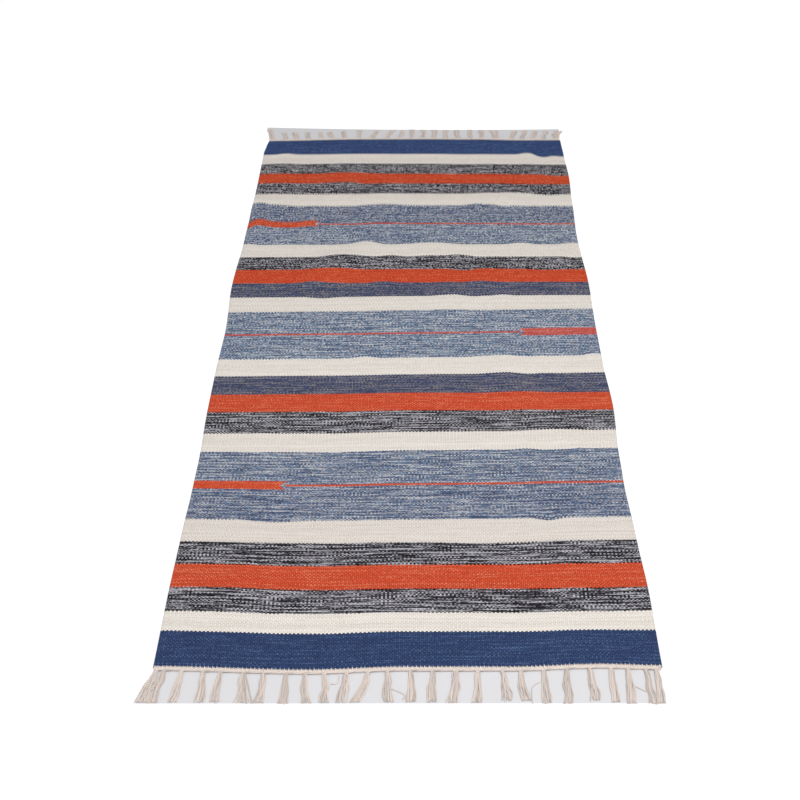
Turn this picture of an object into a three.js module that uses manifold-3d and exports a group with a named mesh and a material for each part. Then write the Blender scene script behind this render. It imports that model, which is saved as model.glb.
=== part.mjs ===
// A hand-woven cotton kilim with knotted warp fringes, lying on a floor.
// Millimetres, +Z up. The origin is the middle of the cloth's underside, +Y runs along
// the rug away from the viewer and +X runs across it to the right.
import * as THREE from 'three';
import { mergeVertices } from 'three/addons/utils/BufferGeometryUtils.js';
import Module from 'manifold-3d';

const wasm = await Module();
wasm.setup();

// Driving dimensions.
const CLOTH_WIDTH = 700;
const CLOTH_LENGTH = 1402;
const CLOTH_THICKNESS = 3.5;
const CLOTH_COLUMNS = 24;
const CLOTH_ROWS = 50;
const PIECE_GAP = 0.3;
const BAND_DEPTH = 8.5;
const BAND_EDGE_HEIGHT = 3.3;
const BAND_CROWN_HEIGHT = 4.8;
const LOCK_ROOT_PITCH = 3.7;
const LOCK_ROOT_WIDTH = 3.1;
const LOCK_TIP_WIDTH = 1.9;
const LOCK_ROOT_HEIGHT = 3.0;
const LOCK_TIP_HEIGHT = 1.8;
const LOCK_ROOT_DEPTH = 3;
const LOCK_STEPS = 3;

// How far each long edge bulges out of the straight, against the distance along the rug.
const SIDE_EDGES = [
  { y: -701, left: 0, right: 0.5 },
  { y: -580, left: 1, right: 2 },
  { y: -480, left: 0, right: -1 },
  { y: -380, left: -2, right: -4 },
  { y: -320, left: -2.5, right: -3 },
  { y: -190, left: 1, right: 3 },
  { y: -90, left: 1.2, right: -0.5 },
  { y: 10, left: -0.8, right: -0.5 },
  { y: 150, left: 5.5, right: 2 },
  { y: 310, left: 0, right: -3.4 },
  { y: 450, left: -2.6, right: 0.8 },
  { y: 545, left: -2.5, right: 4.5 },
  { y: 701, left: -4.6, right: 1 },
];

// How far each short end bows off its straight line, against the distance across the rug.
const END_LINES = [
  { x: -350, near: 0, far: -1 },
  { x: -160, near: -4.6, far: 2.2 },
  { x: 0, near: 0.8, far: 1 },
  { x: 150, near: 1.6, far: -1 },
  { x: 270, near: 6.5, far: -5 },
  { x: 350, near: 4.5, far: -5.5 },
];

// The soft ridges that the cloth lies in: the middle of each crest, its direction from +X
// in degrees, half its length, half its width and its height.
const RIDGES = [
  { x: -150, y: 212, angle: 48, halfLength: 150, halfWidth: 62, height: 5.4 },
  { x: -62, y: 410, angle: 80, halfLength: 95, halfWidth: 75, height: 4.2 },
  { x: 105, y: 130, angle: 52, halfLength: 130, halfWidth: 62, height: 4.2 },
  { x: 46, y: 272, angle: 112, halfLength: 85, halfWidth: 62, height: 4.4 },
  { x: -322, y: 428, angle: 20, halfLength: 85, halfWidth: 62, height: 5.0 },
  { x: 176, y: 448, angle: 52, halfLength: 95, halfWidth: 62, height: 3.0 },
  { x: -150, y: 540, angle: 82, halfLength: 85, halfWidth: 75, height: 3.2 },
  { x: 185, y: -105, angle: 100, halfLength: 150, halfWidth: 75, height: 4.2 },
  { x: 235, y: -285, angle: 62, halfLength: 110, halfWidth: 75, height: 3.2 },
  { x: -262, y: -575, angle: 12, halfLength: 95, halfWidth: 62, height: 2.6 },
];

// Each bundle of knotted warps: where it leaves the band, where it ends, how many locks
// it parts into, how wide they spread, how far it bends sideways and how far it reaches.
const NEAR_BUNDLES = [
  { root: -344, tip: -354, locks: 2, spread: 8, bend: -2, reach: 44 },
  { root: -332, tip: -338, locks: 2, spread: 7, bend: -3, reach: 46 },
  { root: -309, tip: -314, locks: 4, spread: 16, bend: 0, reach: 43 },
  { root: -279, tip: -278, locks: 4, spread: 15, bend: 1, reach: 44 },
  { root: -255, tip: -258, locks: 4, spread: 15, bend: -1, reach: 43 },
  { root: -223, tip: -219, locks: 4, spread: 22, bend: 0, reach: 42 },
  { root: -196, tip: -199, locks: 4, spread: 14, bend: 4, reach: 44 },
  { root: -164, tip: -165, locks: 4, spread: 15, bend: 0, reach: 43 },
  { root: -139, tip: -136, locks: 4, spread: 14, bend: -1, reach: 44 },
  { root: -112, tip: -109, locks: 4, spread: 15, bend: 0, reach: 43 },
  { root: -82, tip: -87, locks: 4, spread: 18, bend: 1, reach: 44 },
  { root: -52, tip: -67, locks: 4, spread: 16, bend: 2, reach: 42 },
  { root: -26, tip: -25, locks: 4, spread: 15, bend: 0, reach: 44 },
  { root: 6, tip: 7, locks: 4, spread: 14, bend: 1, reach: 43 },
  { root: 36, tip: 34, locks: 4, spread: 15, bend: 0, reach: 44 },
  { root: 68, tip: 64, locks: 4, spread: 16, bend: -1, reach: 43 },
  { root: 98, tip: 94, locks: 4, spread: 14, bend: 0, reach: 44 },
  { root: 131, tip: 136, locks: 4, spread: 15, bend: 1, reach: 43 },
  { root: 157, tip: 160, locks: 4, spread: 14, bend: -4, reach: 44 },
  { root: 188, tip: 189, locks: 4, spread: 15, bend: 0, reach: 43 },
  { root: 219, tip: 217, locks: 4, spread: 15, bend: 0, reach: 44 },
  { root: 250, tip: 254, locks: 4, spread: 15, bend: 1, reach: 43 },
  { root: 280, tip: 279, locks: 4, spread: 14, bend: 0, reach: 44 },
  { root: 303, tip: 302, locks: 4, spread: 14, bend: -1, reach: 43 },
  { root: 329, tip: 330, locks: 2, spread: 7, bend: 1, reach: 44 },
  { root: 341, tip: 345, locks: 2, spread: 7, bend: 2, reach: 43 },
];
const FAR_BUNDLES = [
  { root: -331, tip: -339, locks: 4, spread: 14, bend: -1, reach: 43 },
  { root: -300, tip: -309, locks: 4, spread: 15, bend: 0, reach: 44 },
  { root: -274, tip: -282, locks: 4, spread: 14, bend: 1, reach: 43 },
  { root: -246, tip: -255, locks: 4, spread: 15, bend: 0, reach: 43 },
  { root: -217, tip: -224, locks: 4, spread: 14, bend: 1, reach: 44 },
  { root: -190, tip: -200, locks: 4, spread: 15, bend: 0, reach: 43 },
  { root: -162, tip: -167, locks: 4, spread: 14, bend: -1, reach: 44 },
  { root: -130, tip: -128, locks: 4, spread: 15, bend: 0, reach: 43 },
  { root: -99, tip: -87, locks: 4, spread: 15, bend: 1, reach: 43 },
  { root: -67, tip: -51, locks: 4, spread: 15, bend: 1, reach: 42 },
  { root: -35, tip: -26, locks: 4, spread: 14, bend: 0, reach: 44 },
  { root: -6, tip: -4, locks: 4, spread: 14, bend: 0, reach: 43 },
  { root: 20, tip: 23, locks: 4, spread: 14, bend: 1, reach: 44 },
  { root: 47, tip: 50, locks: 4, spread: 14, bend: 0, reach: 43 },
  { root: 76, tip: 77, locks: 4, spread: 14, bend: -1, reach: 44 },
  { root: 107, tip: 103, locks: 4, spread: 15, bend: 0, reach: 43 },
  { root: 135, tip: 136, locks: 4, spread: 14, bend: 1, reach: 43 },
  { root: 162, tip: 166, locks: 4, spread: 14, bend: 0, reach: 44 },
  { root: 198, tip: 193, locks: 4, spread: 22, bend: 0, reach: 42 },
  { root: 232, tip: 244, locks: 4, spread: 14, bend: 1, reach: 43 },
  { root: 257, tip: 268, locks: 4, spread: 14, bend: 0, reach: 43 },
  { root: 281, tip: 294, locks: 4, spread: 15, bend: -1, reach: 42 },
  { root: 307, tip: 320, locks: 4, spread: 14, bend: 0, reach: 42 },
  { root: 331, tip: 347, locks: 4, spread: 12, bend: -2, reach: 40 },
];

// Eased steps between the rows of a table, from the row before `at` to the row after it.
function readTable(rows, by, column, at) {
  const last = rows.length - 1;
  const clamped = Math.min(Math.max(at, rows[0][by]), rows[last][by]);
  const after = Math.max(1, rows.findIndex((row) => row[by] >= clamped));
  const a = rows[after - 1];
  const b = rows[after];
  const part = THREE.MathUtils.smoothstep(clamped, a[by], b[by]);
  return THREE.MathUtils.lerp(a[column], b[column], part);
}

// The height of the ridges under a point: each is a smooth mound that fades to nothing
// at its own rim, so the cloth between the ridges lies flat on the floor.
function ridgeHeight(x, y) {
  let total = 0;
  for (const ridge of RIDGES) {
    const angle = THREE.MathUtils.degToRad(ridge.angle);
    const along = (x - ridge.x) * Math.cos(angle) + (y - ridge.y) * Math.sin(angle);
    const across = (y - ridge.y) * Math.cos(angle) - (x - ridge.x) * Math.sin(angle);
    const reach = (along / ridge.halfLength) ** 2 + (across / ridge.halfWidth) ** 2;
    total = Math.max(total, ridge.height * Math.max(0, 1 - reach) ** 2);
  }
  return total;
}

// A closed slab over a grid: place(u, v) gives the plan point and the low and high
// levels for u across and v along, both from 0 to 1.
function slabGeometry(columns, rows, place) {
  const high = [];
  const low = [];
  for (let row = 0; row <= rows; row += 1) {
    for (let column = 0; column <= columns; column += 1) {
      const spot = place(column / columns, row / rows);
      high.push(spot.x, spot.y, spot.high);
      low.push(spot.x, spot.y, spot.low);
    }
  }
  const lowStart = (columns + 1) * (rows + 1);
  const index = [];
  const quad = (a, b, c, d) => index.push(a, b, c, a, c, d);
  const at = (column, row) => row * (columns + 1) + column;
  for (let row = 0; row < rows; row += 1) {
    for (let column = 0; column < columns; column += 1) {
      const corners = [at(column, row), at(column + 1, row), at(column + 1, row + 1), at(column, row + 1)];
      quad(...corners);
      quad(...corners.reverse().map((corner) => corner + lowStart));
    }
    quad(at(columns, row), at(columns, row) + lowStart, at(columns, row + 1) + lowStart, at(columns, row + 1));
    quad(at(0, row + 1), at(0, row + 1) + lowStart, at(0, row) + lowStart, at(0, row));
  }
  for (let column = 0; column < columns; column += 1) {
    quad(at(column, 0), at(column, 0) + lowStart, at(column + 1, 0) + lowStart, at(column + 1, 0));
    quad(at(column + 1, rows), at(column + 1, rows) + lowStart, at(column, rows) + lowStart, at(column, rows));
  }
  return closedGeometry([...high, ...low], index);
}

function closedGeometry(positions, index) {
  const geometry = new THREE.BufferGeometry();
  geometry.setAttribute('position', new THREE.Float32BufferAttribute(positions, 3));
  geometry.setIndex(index);
  geometry.computeVertexNormals();
  return geometry;
}

// The plan point of the woven cloth at u across and v along.
function clothPlan(u, v) {
  const y = (v - 0.5) * CLOTH_LENGTH;
  const leftX = -CLOTH_WIDTH / 2 - readTable(SIDE_EDGES, 'y', 'left', y);
  const rightX = CLOTH_WIDTH / 2 + readTable(SIDE_EDGES, 'y', 'right', y);
  const x = THREE.MathUtils.lerp(leftX, rightX, u);
  const bow = THREE.MathUtils.lerp(
    readTable(END_LINES, 'x', 'near', x),
    readTable(END_LINES, 'x', 'far', x),
    v,
  );
  return { x, y: y + bow };
}

function clothMesh() {
  const geometry = slabGeometry(CLOTH_COLUMNS, CLOTH_ROWS, (u, v) => {
    const { x, y } = clothPlan(u, v);
    const low = ridgeHeight(x, y);
    return { x, y, low, high: low + CLOTH_THICKNESS };
  });
  const material = new THREE.MeshStandardMaterial({ color: 0x8d8f99, roughness: 0.95, metalness: 0 });
  const mesh = new THREE.Mesh(geometry, material);
  mesh.name = 'cloth';
  return mesh;
}

// One lock lying on the floor: a tapering three-sided strand with a flat underside,
// carried along a bent line from the band to its tip.
function lockGeometry(start, middle, end) {
  const line = new THREE.QuadraticBezierCurve(start, middle, end);
  const positions = [];
  const index = [];
  for (let step = 0; step <= LOCK_STEPS; step += 1) {
    const t = step / LOCK_STEPS;
    const centre = line.getPoint(t);
    const forward = line.getTangent(t);
    const half = THREE.MathUtils.lerp(LOCK_ROOT_WIDTH, LOCK_TIP_WIDTH, t) / 2;
    const height = THREE.MathUtils.lerp(LOCK_ROOT_HEIGHT, LOCK_TIP_HEIGHT, t);
    const sideX = forward.y * half;
    const sideY = -forward.x * half;
    positions.push(centre.x - sideX, centre.y - sideY, 0);
    positions.push(centre.x + sideX, centre.y + sideY, 0);
    positions.push(centre.x, centre.y, height);
  }
  for (let step = 0; step < LOCK_STEPS; step += 1) {
    for (let side = 0; side < 3; side += 1) {
      const a = step * 3 + side;
      const b = step * 3 + ((side + 1) % 3);
      index.push(a, b + 3, b, a, a + 3, b + 3);
    }
  }
  const last = LOCK_STEPS * 3;
  index.push(0, 1, 2, last + 2, last + 1, last);
  return closedGeometry(positions, index);
}

function toManifold(geometry) {
  const bare = geometry.clone();
  bare.deleteAttribute('normal');
  const merged = mergeVertices(bare);
  const solid = new wasm.Mesh({
    numProp: 3,
    vertProperties: new Float32Array(merged.attributes.position.array),
    triVerts: new Uint32Array(merged.index.array),
  });
  return new wasm.Manifold(solid);
}

function fromManifold(manifold) {
  const result = manifold.getMesh();
  return closedGeometry(Array.from(result.vertProperties), Array.from(result.triVerts));
}

// A fringe: the band that the warp ends are hitched into, along one end of the cloth,
// with its bundles of locks fused to it at their roots.
// outward is -1 at the near end and 1 at the far end.
function fringeMesh(name, bundles, outward) {
  const endRow = outward > 0 ? 1 : 0;
  const bandPoint = (u, depth) => {
    const end = clothPlan(u, endRow);
    return { x: end.x, y: end.y + outward * (PIECE_GAP + depth) };
  };
  const band = slabGeometry(CLOTH_COLUMNS, 2, (u, v) => {
    const depth = BAND_DEPTH * (outward > 0 ? v : 1 - v);
    const high = v === 0.5 ? BAND_CROWN_HEIGHT : BAND_EDGE_HEIGHT;
    return { ...bandPoint(u, depth), low: 0, high };
  });
  let solid = toManifold(band);
  for (const bundle of bundles) {
    const middle = (bundle.locks - 1) / 2;
    for (let lock = 0; lock < bundle.locks; lock += 1) {
      const side = lock - middle;
      const rootX = bundle.root + side * LOCK_ROOT_PITCH;
      const tipX = bundle.tip + side * (bundle.spread / (bundle.locks - 1));
      const bandEdge = bandPoint((rootX + CLOTH_WIDTH / 2) / CLOTH_WIDTH, BAND_DEPTH).y;
      const start = new THREE.Vector2(rootX, bandEdge - outward * LOCK_ROOT_DEPTH);
      const end = new THREE.Vector2(tipX, bandEdge + outward * bundle.reach);
      const half = new THREE.Vector2().lerpVectors(start, end, 0.5);
      half.x += bundle.bend;
      solid = solid.add(toManifold(lockGeometry(start, half, end)));
    }
  }
  const material = new THREE.MeshStandardMaterial({ color: 0xded6ca, roughness: 0.95, metalness: 0 });
  const mesh = new THREE.Mesh(fromManifold(solid), material);
  mesh.name = name;
  return mesh;
}

const kilim = new THREE.Group();
kilim.add(clothMesh());
kilim.add(fringeMesh('fringe_near', NEAR_BUNDLES, -1));
kilim.add(fringeMesh('fringe_far', FAR_BUNDLES, 1));

export default kilim;
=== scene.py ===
from functools import partial

import bpy
import numpy as np
from mathutils import Matrix


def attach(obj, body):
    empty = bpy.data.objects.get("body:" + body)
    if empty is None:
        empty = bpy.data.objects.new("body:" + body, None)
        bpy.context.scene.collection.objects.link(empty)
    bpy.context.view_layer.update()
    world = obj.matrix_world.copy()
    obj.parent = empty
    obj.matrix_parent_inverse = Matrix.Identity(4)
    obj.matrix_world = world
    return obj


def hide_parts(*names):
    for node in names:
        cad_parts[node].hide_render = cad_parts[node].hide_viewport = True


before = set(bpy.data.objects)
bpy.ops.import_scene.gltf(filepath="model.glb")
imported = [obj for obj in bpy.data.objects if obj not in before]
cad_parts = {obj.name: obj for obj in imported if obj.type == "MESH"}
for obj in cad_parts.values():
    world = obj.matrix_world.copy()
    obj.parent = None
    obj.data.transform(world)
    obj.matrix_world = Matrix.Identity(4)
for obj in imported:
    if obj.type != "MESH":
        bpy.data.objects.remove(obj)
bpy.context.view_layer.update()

# The woven cloth
# One panel of soft-spun cotton, woven on a hand loom and laid on a floor. Its selvedges wander
# where the wefts were drawn in more or less, its wefts bow, and it lies in low soft ridges.

# Sizes are in mm. The last picks, undyed, go on a little under the hitched warps. The mesh has a
# column of faces for every second warp and a row for each bead.
MM = 0.001
CLOTH_WIDTH = 700.0
CLOTH_LENGTH = 1402.0
CLOTH_THICKNESS = 3.5
LAST_PICKS = 1.4
WARP_PITCH = 2.92
BEAD_LENGTH = 5.3
BEAD_STRANDS = 4
STRAND_STEP = BEAD_LENGTH / BEAD_STRANDS
COLUMN_STEP = 2 * WARP_PITCH
ROW_STEP = BEAD_LENGTH
RIM_STEPS = 3

SIDE_EDGES = np.array(
    [
        # along, left edge outwards, right edge outwards
        (-701, 0, 0.5),
        (-580, 1, 2),
        (-480, 0, -1),
        (-380, -2, -4),
        (-320, -2.5, -3),
        (-190, 1, 3),
        (-90, 1.2, -0.5),
        (10, -0.8, -0.5),
        (150, 5.5, 2),
        (310, 0, -3.4),
        (450, -2.6, 0.8),
        (545, -2.5, 4.5),
        (650, -2, 2.2),
        (680, -5, 1.2),
        (701, -8, 1),
    ]
)
BOW_ACROSS = np.array([-350.0, -140.0, 0.0, 140.0, 270.0, 350.0])
WEFT_BOWS = np.array(
    [
        # along, then how far the weft is pushed along at each place across
        (-701, 0, -4.6, 0.8, 1.4, 6.5, 4.5),
        (-572, 1.5, -3.2, 0, 0, 2.5, 4.5),
        (-444, 0.5, -3.1, -0.5, 1.5, 4.5, 6),
        (-276, -3.4, -3.8, 0.3, 1.5, 4.5, 5.5),
        (-183, -3, -1.9, 1.4, 0.4, 1.2, 2),
        (-69, -4, -3, 0, 2, 4, 5.5),
        (67, -3.9, -2.2, 0.5, 0.6, 2.6, 3.2),
        (155, -1.5, -1.8, -0.5, 0, 0, -0.8),
        (240, -0.4, -1, -0.3, -2, -2.9, -2.2),
        (350, 0.3, -0.6, 0.6, -1, -3.6, -3.6),
        (450, 1, 0, 0.8, 0, -4.2, -5.5),
        (530, 2.5, 3.4, 0, -2.2, -6, -7.5),
        (638, 1.5, 2.6, 1.2, -2.3, -4.5, -8),
        (701, 1.5, 6, 5, 1.8, -3.8, -4),
    ]
)
WEFT_BUMPS = np.array(
    [
        # across, along, half width across, half depth along, how far the wefts are pushed along
        (-300, 590, 50, 80, 4.0),
        (235, 470, 50, 36, 4.5),
        (300, 470, 38, 34, -3.5),
        (264, 636, 24, 50, 6.5),
        (302, 636, 28, 44, -12.0),
        (345, 636, 36, 40, -7.5),
        (330, 556, 50, 34, -5.5),
        (-296, 636, 28, 26, 4.0),
        (-336, 424, 32, 36, 6.5),
        (-110, 514, 34, 30, -4.0),
        (-92, 284, 42, 36, 9.0),
        (230, 283, 38, 32, 5.5),
        (338, 284, 34, 30, 4.5),
        (-140, 243, 46, 24, 4.5),
        (-40, 240, 34, 24, 4.5),
        (102, 242, 36, 26, 6.5),
        (338, 225, 36, 44, -5.5),
        (112, 198, 36, 24, -5.5),
        (275, 198, 60, 26, -3.5),
        (-52, 155, 38, 30, 4.5),
        (104, 150, 36, 30, -4.5),
        (118, 111, 38, 24, -4.5),
        (-168, 111, 40, 26, -4.0),
        (180, 111, 26, 26, 3.5),
        (-82, -70, 30, 24, 5.5),
        (338, -68, 26, 26, 4.5),
        (210, -112, 36, 30, -4.0),
        (228, -297, 36, 34, -5.0),
        (220, -444, 28, 24, -5.0),
        (-214, -444, 60, 24, -3.5),
        (-326, 362, 30, 40, 9.0),
        (-354, 352, 22, 40, -8.0),
        (-264, 357, 50, 26, -4.5),
        (120, -487, 110, 26, -3.0),
        (-300, 514, 70, 24, 3.0),
        (140, 425, 24, 22, 3.5),
        (198, 425, 26, 22, -4.0),
        (-340, 283, 26, 22, 3.5),
        (-190, 155, 30, 22, 3.0),
        (208, -69, 36, 22, -3.5),
        (260, -297, 28, 22, -3.5),
        (-214, 358, 30, 26, 4.0),
    ]
)
RIDGES = np.array(
    [
        # across, along, crest's turn from across in degrees, half length, half width, height
        (-150, 212, 48, 150, 62, 5.4),
        (-62, 410, 80, 95, 75, 4.2),
        (105, 130, 52, 130, 62, 4.2),
        (46, 272, 112, 85, 62, 4.4),
        (-322, 428, 20, 85, 62, 5.0),
        (176, 448, 52, 95, 62, 3.0),
        (-150, 540, 82, 85, 75, 3.2),
        (185, -105, 100, 150, 75, 4.2),
        (235, -285, 62, 110, 75, 3.2),
        (-262, -575, 12, 95, 62, 2.6),
    ]
)


def eased_rows(stations, rows, at):
    """The rows' values at each place: smooth steps (3t squared less 2t cubed) between stations."""
    after = np.clip(np.searchsorted(stations, at), 1, len(stations) - 1)
    held = np.clip(at, stations[0], stations[-1])
    t = (held - stations[after - 1]) / np.diff(stations)[after - 1]
    t = (t * t * (3 - 2 * t))[..., None]
    return rows[after - 1] * (1 - t) + rows[after] * t


def ridge_height(x, y):
    """The highest ridge: its height times (1 less the squared distance from its crest) squared."""
    turn = np.radians(RIDGES[:, 2])
    east = x[..., None] - RIDGES[:, 0]
    north = y[..., None] - RIDGES[:, 1]
    along_crest = (east * np.cos(turn) + north * np.sin(turn)) / RIDGES[:, 3]
    off_crest = (north * np.cos(turn) - east * np.sin(turn)) / RIDGES[:, 4]
    inside = np.clip(1 - along_crest**2 - off_crest**2, 0, None)
    return (RIDGES[:, 5] * inside**2).max(axis=-1)


def cloth_point(across, along):
    """The plan place and underside height of a point of the weave, all in millimetres.

    Across is stretched between the row's own two edges, and along is pushed by the weft's bow,
    with smooth steps between the bow's places across, and by each small bump where the wefts were
    beaten unevenly: its push times (1 less the squared distance from its middle) squared.
    """
    edges = eased_rows(SIDE_EDGES[:, 0], SIDE_EDGES[:, 1:], along)
    share = across / CLOTH_WIDTH + 0.5
    x = across - edges[..., 0] * (1 - share) + edges[..., 1] * share
    bows = eased_rows(WEFT_BOWS[:, 0], WEFT_BOWS[:, 1:], along)
    held = np.clip(across, BOW_ACROSS[0], BOW_ACROSS[-1])
    after = np.clip(np.searchsorted(BOW_ACROSS, held), 1, len(BOW_ACROSS) - 1)
    t = (held - BOW_ACROSS[after - 1]) / np.diff(BOW_ACROSS)[after - 1]
    t = t * t * (3 - 2 * t)
    bow_before = np.take_along_axis(bows, (after - 1)[..., None], -1)[..., 0]
    bow_after = np.take_along_axis(bows, after[..., None], -1)[..., 0]
    y = along + bow_before * (1 - t) + bow_after * t
    off_x = (across[..., None] - WEFT_BUMPS[:, 0]) / WEFT_BUMPS[:, 2]
    off_y = (along[..., None] - WEFT_BUMPS[:, 1]) / WEFT_BUMPS[:, 3]
    y = y + (WEFT_BUMPS[:, 4] * np.clip(1 - off_x**2 - off_y**2, 0, None) ** 2).sum(axis=-1)
    return x, y, ridge_height(x, y)


def mesh_object(name, points, faces, corner_uv, uv_name):
    """A smooth-shaded mesh object from arrays: points in mm, four-cornered faces, a UV a corner."""
    mesh = bpy.data.meshes.new(name)
    mesh.from_pydata((points * MM).tolist(), [], faces.tolist())
    layer = mesh.uv_layers.new(name=uv_name)
    layer.uv.foreach_set("vector", (corner_uv * MM).astype(np.float32).ravel())
    mesh.shade_smooth()
    made = bpy.data.objects.new(name, mesh)
    bpy.context.scene.collection.objects.link(made)
    return made


def cloth_mesh():
    """The cloth as a closed band of cross sections: top, right rim, underside, left rim.

    Each rim is half a circle of the cloth's thickness, and the outermost columns stand in by its
    radius. The two ends are closed between the top and the underside.
    """
    columns = int(round(CLOTH_WIDTH / COLUMN_STEP))
    half_length = CLOTH_LENGTH / 2 + LAST_PICKS
    rows = int(round(2 * half_length / ROW_STEP))
    across = np.linspace(-CLOTH_WIDTH / 2, CLOTH_WIDTH / 2, columns + 1)
    along = np.linspace(-half_length, half_length, rows + 1)
    radius = CLOTH_THICKNESS / 2
    turn = np.linspace(0, np.pi, RIM_STEPS + 2)[1:-1]
    edge = np.full(RIM_STEPS, CLOTH_WIDTH / 2)
    flat = np.zeros(columns + 1)
    bulge = radius * np.sin(turn)
    drop = radius * (1 - np.cos(turn))
    ring_across = np.concatenate([across, edge, across[::-1], -edge])
    ring_out = np.concatenate([flat, bulge, flat, -bulge])
    ring_drop = np.concatenate([flat, drop, flat + CLOTH_THICKNESS, drop[::-1]])
    at_rim = np.abs(ring_across) >= CLOTH_WIDTH / 2
    ring_in = np.sign(ring_across) * at_rim * radius
    grid_across, grid_along = np.meshgrid(ring_across, along)
    x, y, low = cloth_point(grid_across, grid_along)
    points = np.stack([x + ring_out - ring_in, y, low + CLOTH_THICKNESS - ring_drop], -1)
    uv = np.stack([grid_across + ring_out, grid_along], -1).reshape(-1, 2)
    around = len(ring_across)
    first = np.arange(around)
    pair = np.stack([first, (first + 1) % around], -1)
    lower = (np.arange(rows) * around)[:, None, None] + pair
    walls = np.concatenate([lower, lower[..., ::-1] + around], -1).reshape(-1, 4)
    top = np.arange(columns)
    under = 2 * (columns + 1) + RIM_STEPS - 1 - top
    near_end = np.stack([top, under, under - 1, top + 1], -1)
    far_end = near_end[:, ::-1] + rows * around
    faces = np.concatenate([walls, near_end, far_end])
    return points.reshape(-1, 3), faces, uv[faces]


# The weave is weft-faced: thick wefts, beaten down until they hide the warps. A weft passes over
# every second warp and shows there as a plump bead, and the next weft's beads lie between its own.
# Marled yarn has plies of two or three colours, whose twist drifts against the warps and gives
# streaks and salt-and-pepper.
YARNS = {
    # dark ply, light ply, third ply, share of light, share of the third ply, painted shade of the
    # hollows
    "warp": ("#e6dcd0", "#f2eae0", "#ece3d8", 0.5, 0.2, 0.8),
    "white": ("#e1d9cf", "#ede6de", "#e7dfd7", 0.6, 0.2, 0.78),
    "dull white": ("#d9d0c7", "#e5ddd5", "#dfd7cf", 0.6, 0.2, 0.78),
    "blue": ("#34456c", "#4e658d", "#3e5380", 0.3, 0.3, 0.3),
    "pale blue": ("#384a78", "#516c99", "#42598f", 0.3, 0.3, 0.4),
    "grey": ("#252328", "#c2c0c7", "#65636c", 0.385, 0.22, 0.65),
    "dark grey": ("#242227", "#bfbdc3", "#625f68", 0.367, 0.22, 0.65),
    "denim": ("#4c5773", "#c7c8cb", "#748aa7", 0.42, 0.42, 0.65),
    "pale denim": ("#505d79", "#cfd1d5", "#7b93ae", 0.42, 0.42, 0.65),
    "grey denim": ("#4f5b78", "#cdcfd3", "#788faa", 0.42, 0.42, 0.65),
    "dark denim": ("#48526e", "#c0c1c7", "#6f83a0", 0.42, 0.42, 0.65),
    "navy": ("#434964", "#918b8d", "#59658b", 0.38, 0.3, 0.6),
    "orange": ("#da4e2f", "#e8734e", "#e35933", 0.3, 0.25, 0.32),
    "worn orange": ("#da5334", "#ea7d5d", "#e45f3f", 0.3, 0.25, 0.32),
    "coral": ("#c4524a", "#de8a84", "#cf6058", 0.35, 0.3, 0.6),
}
STRIPES = [
    # where the stripe ends along the rug, and its yarn
    (-701.0, "warp"),
    (-645.2, "blue"),
    (-613.0, "white"),
    (-571.2, "grey"),
    (-529.0, "worn orange"),
    (-487.2, "grey"),
    (-443.8, "dull white"),
    (-372.0, "dark denim"),
    (-297.5, "denim"),
    (-254.5, "white"),
    (-205.3, "grey"),
    (-160.6, "worn orange"),
    (-113.2, "navy"),
    (-68.7, "white"),
    (67.5, "pale denim"),
    (111.1, "white"),
    (154.7, "navy"),
    (197.8, "orange"),
    (240.5, "dark grey"),
    (282.9, "white"),
    (358.0, "grey denim"),
    (425.1, "dark denim"),
    (470.5, "white"),
    (514.0, "dark grey"),
    (553.7, "orange"),
    (595.5, "dark grey"),
    (638.1, "white"),
    (699.9, "pale blue"),
    (720.0, "warp"),
    (740.0, "coral"),
]
# The bars look up their yarn in an orange stripe, and past the rug's end for the coral.
ORANGE_PLACE = -550.0
CORAL_PLACE = 730.0
INLAID_BARS = [
    # middle along, side, notch across, half its depth, thin line along, where its yarn is
    (-371.5, -1, -206, 8.6, -371.4, ORANGE_PLACE),
    (0.3, 1, 214, 10.5, 0.5, CORAL_PLACE),
    (357.5, -1, -205, 10.0, 356.0, ORANGE_PLACE),
]
# A bar's two edges reach on past its notch, and its thin line starts a little past the notch.
PRONG_REACH = 11.0
THIN_LINE_HALF = 2.1
THIN_LINE_GAP = 7.0


def linear_colour(hex_code):
    """A linear colour with alpha from an sRGB hex code: the sRGB curve undone for each channel."""
    channels = np.array([int(hex_code[i : i + 2], 16) for i in (1, 3, 5)]) / 255
    linear = np.where(channels <= 0.04045, channels / 12.92, ((channels + 0.055) / 1.055) ** 2.4)
    return (*linear.tolist(), 1.0)


def add_node(material, kind, inputs=(), output=0, **settings):
    """Adds a node with its settings and gives back one of its outputs.

    An input is a value or another node's output to link from, in the node's order or by name.
    """
    tree = material.node_tree
    made = tree.nodes.new(kind)
    for name, value in settings.items():
        setattr(made, name, value)
    for name, value in inputs.items() if isinstance(inputs, dict) else enumerate(inputs):
        if isinstance(value, bpy.types.NodeSocket):
            tree.links.new(value, made.inputs[name])
        else:
            made.inputs[name].default_value = value
    return made.outputs[output] if made.outputs else made


# Dyed cotton weft, weft-faced plain weave: matt, with a faint lint, each bead rounded, painted
# darker as shade where it dips under the next warp and a little lighter on its top, the twist of its
# plies drawn across it.
weave = bpy.data.materials.new("weft_faced_dyed_cotton")
weave.use_nodes = True
weave.node_tree.nodes.clear()
node = partial(add_node, weave)

weave_uv = node("ShaderNodeUVMap", uv_map="weave")
place = node("ShaderNodeVectorMath", {0: weave_uv, "Scale": 1 / MM}, operation="SCALE")

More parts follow.
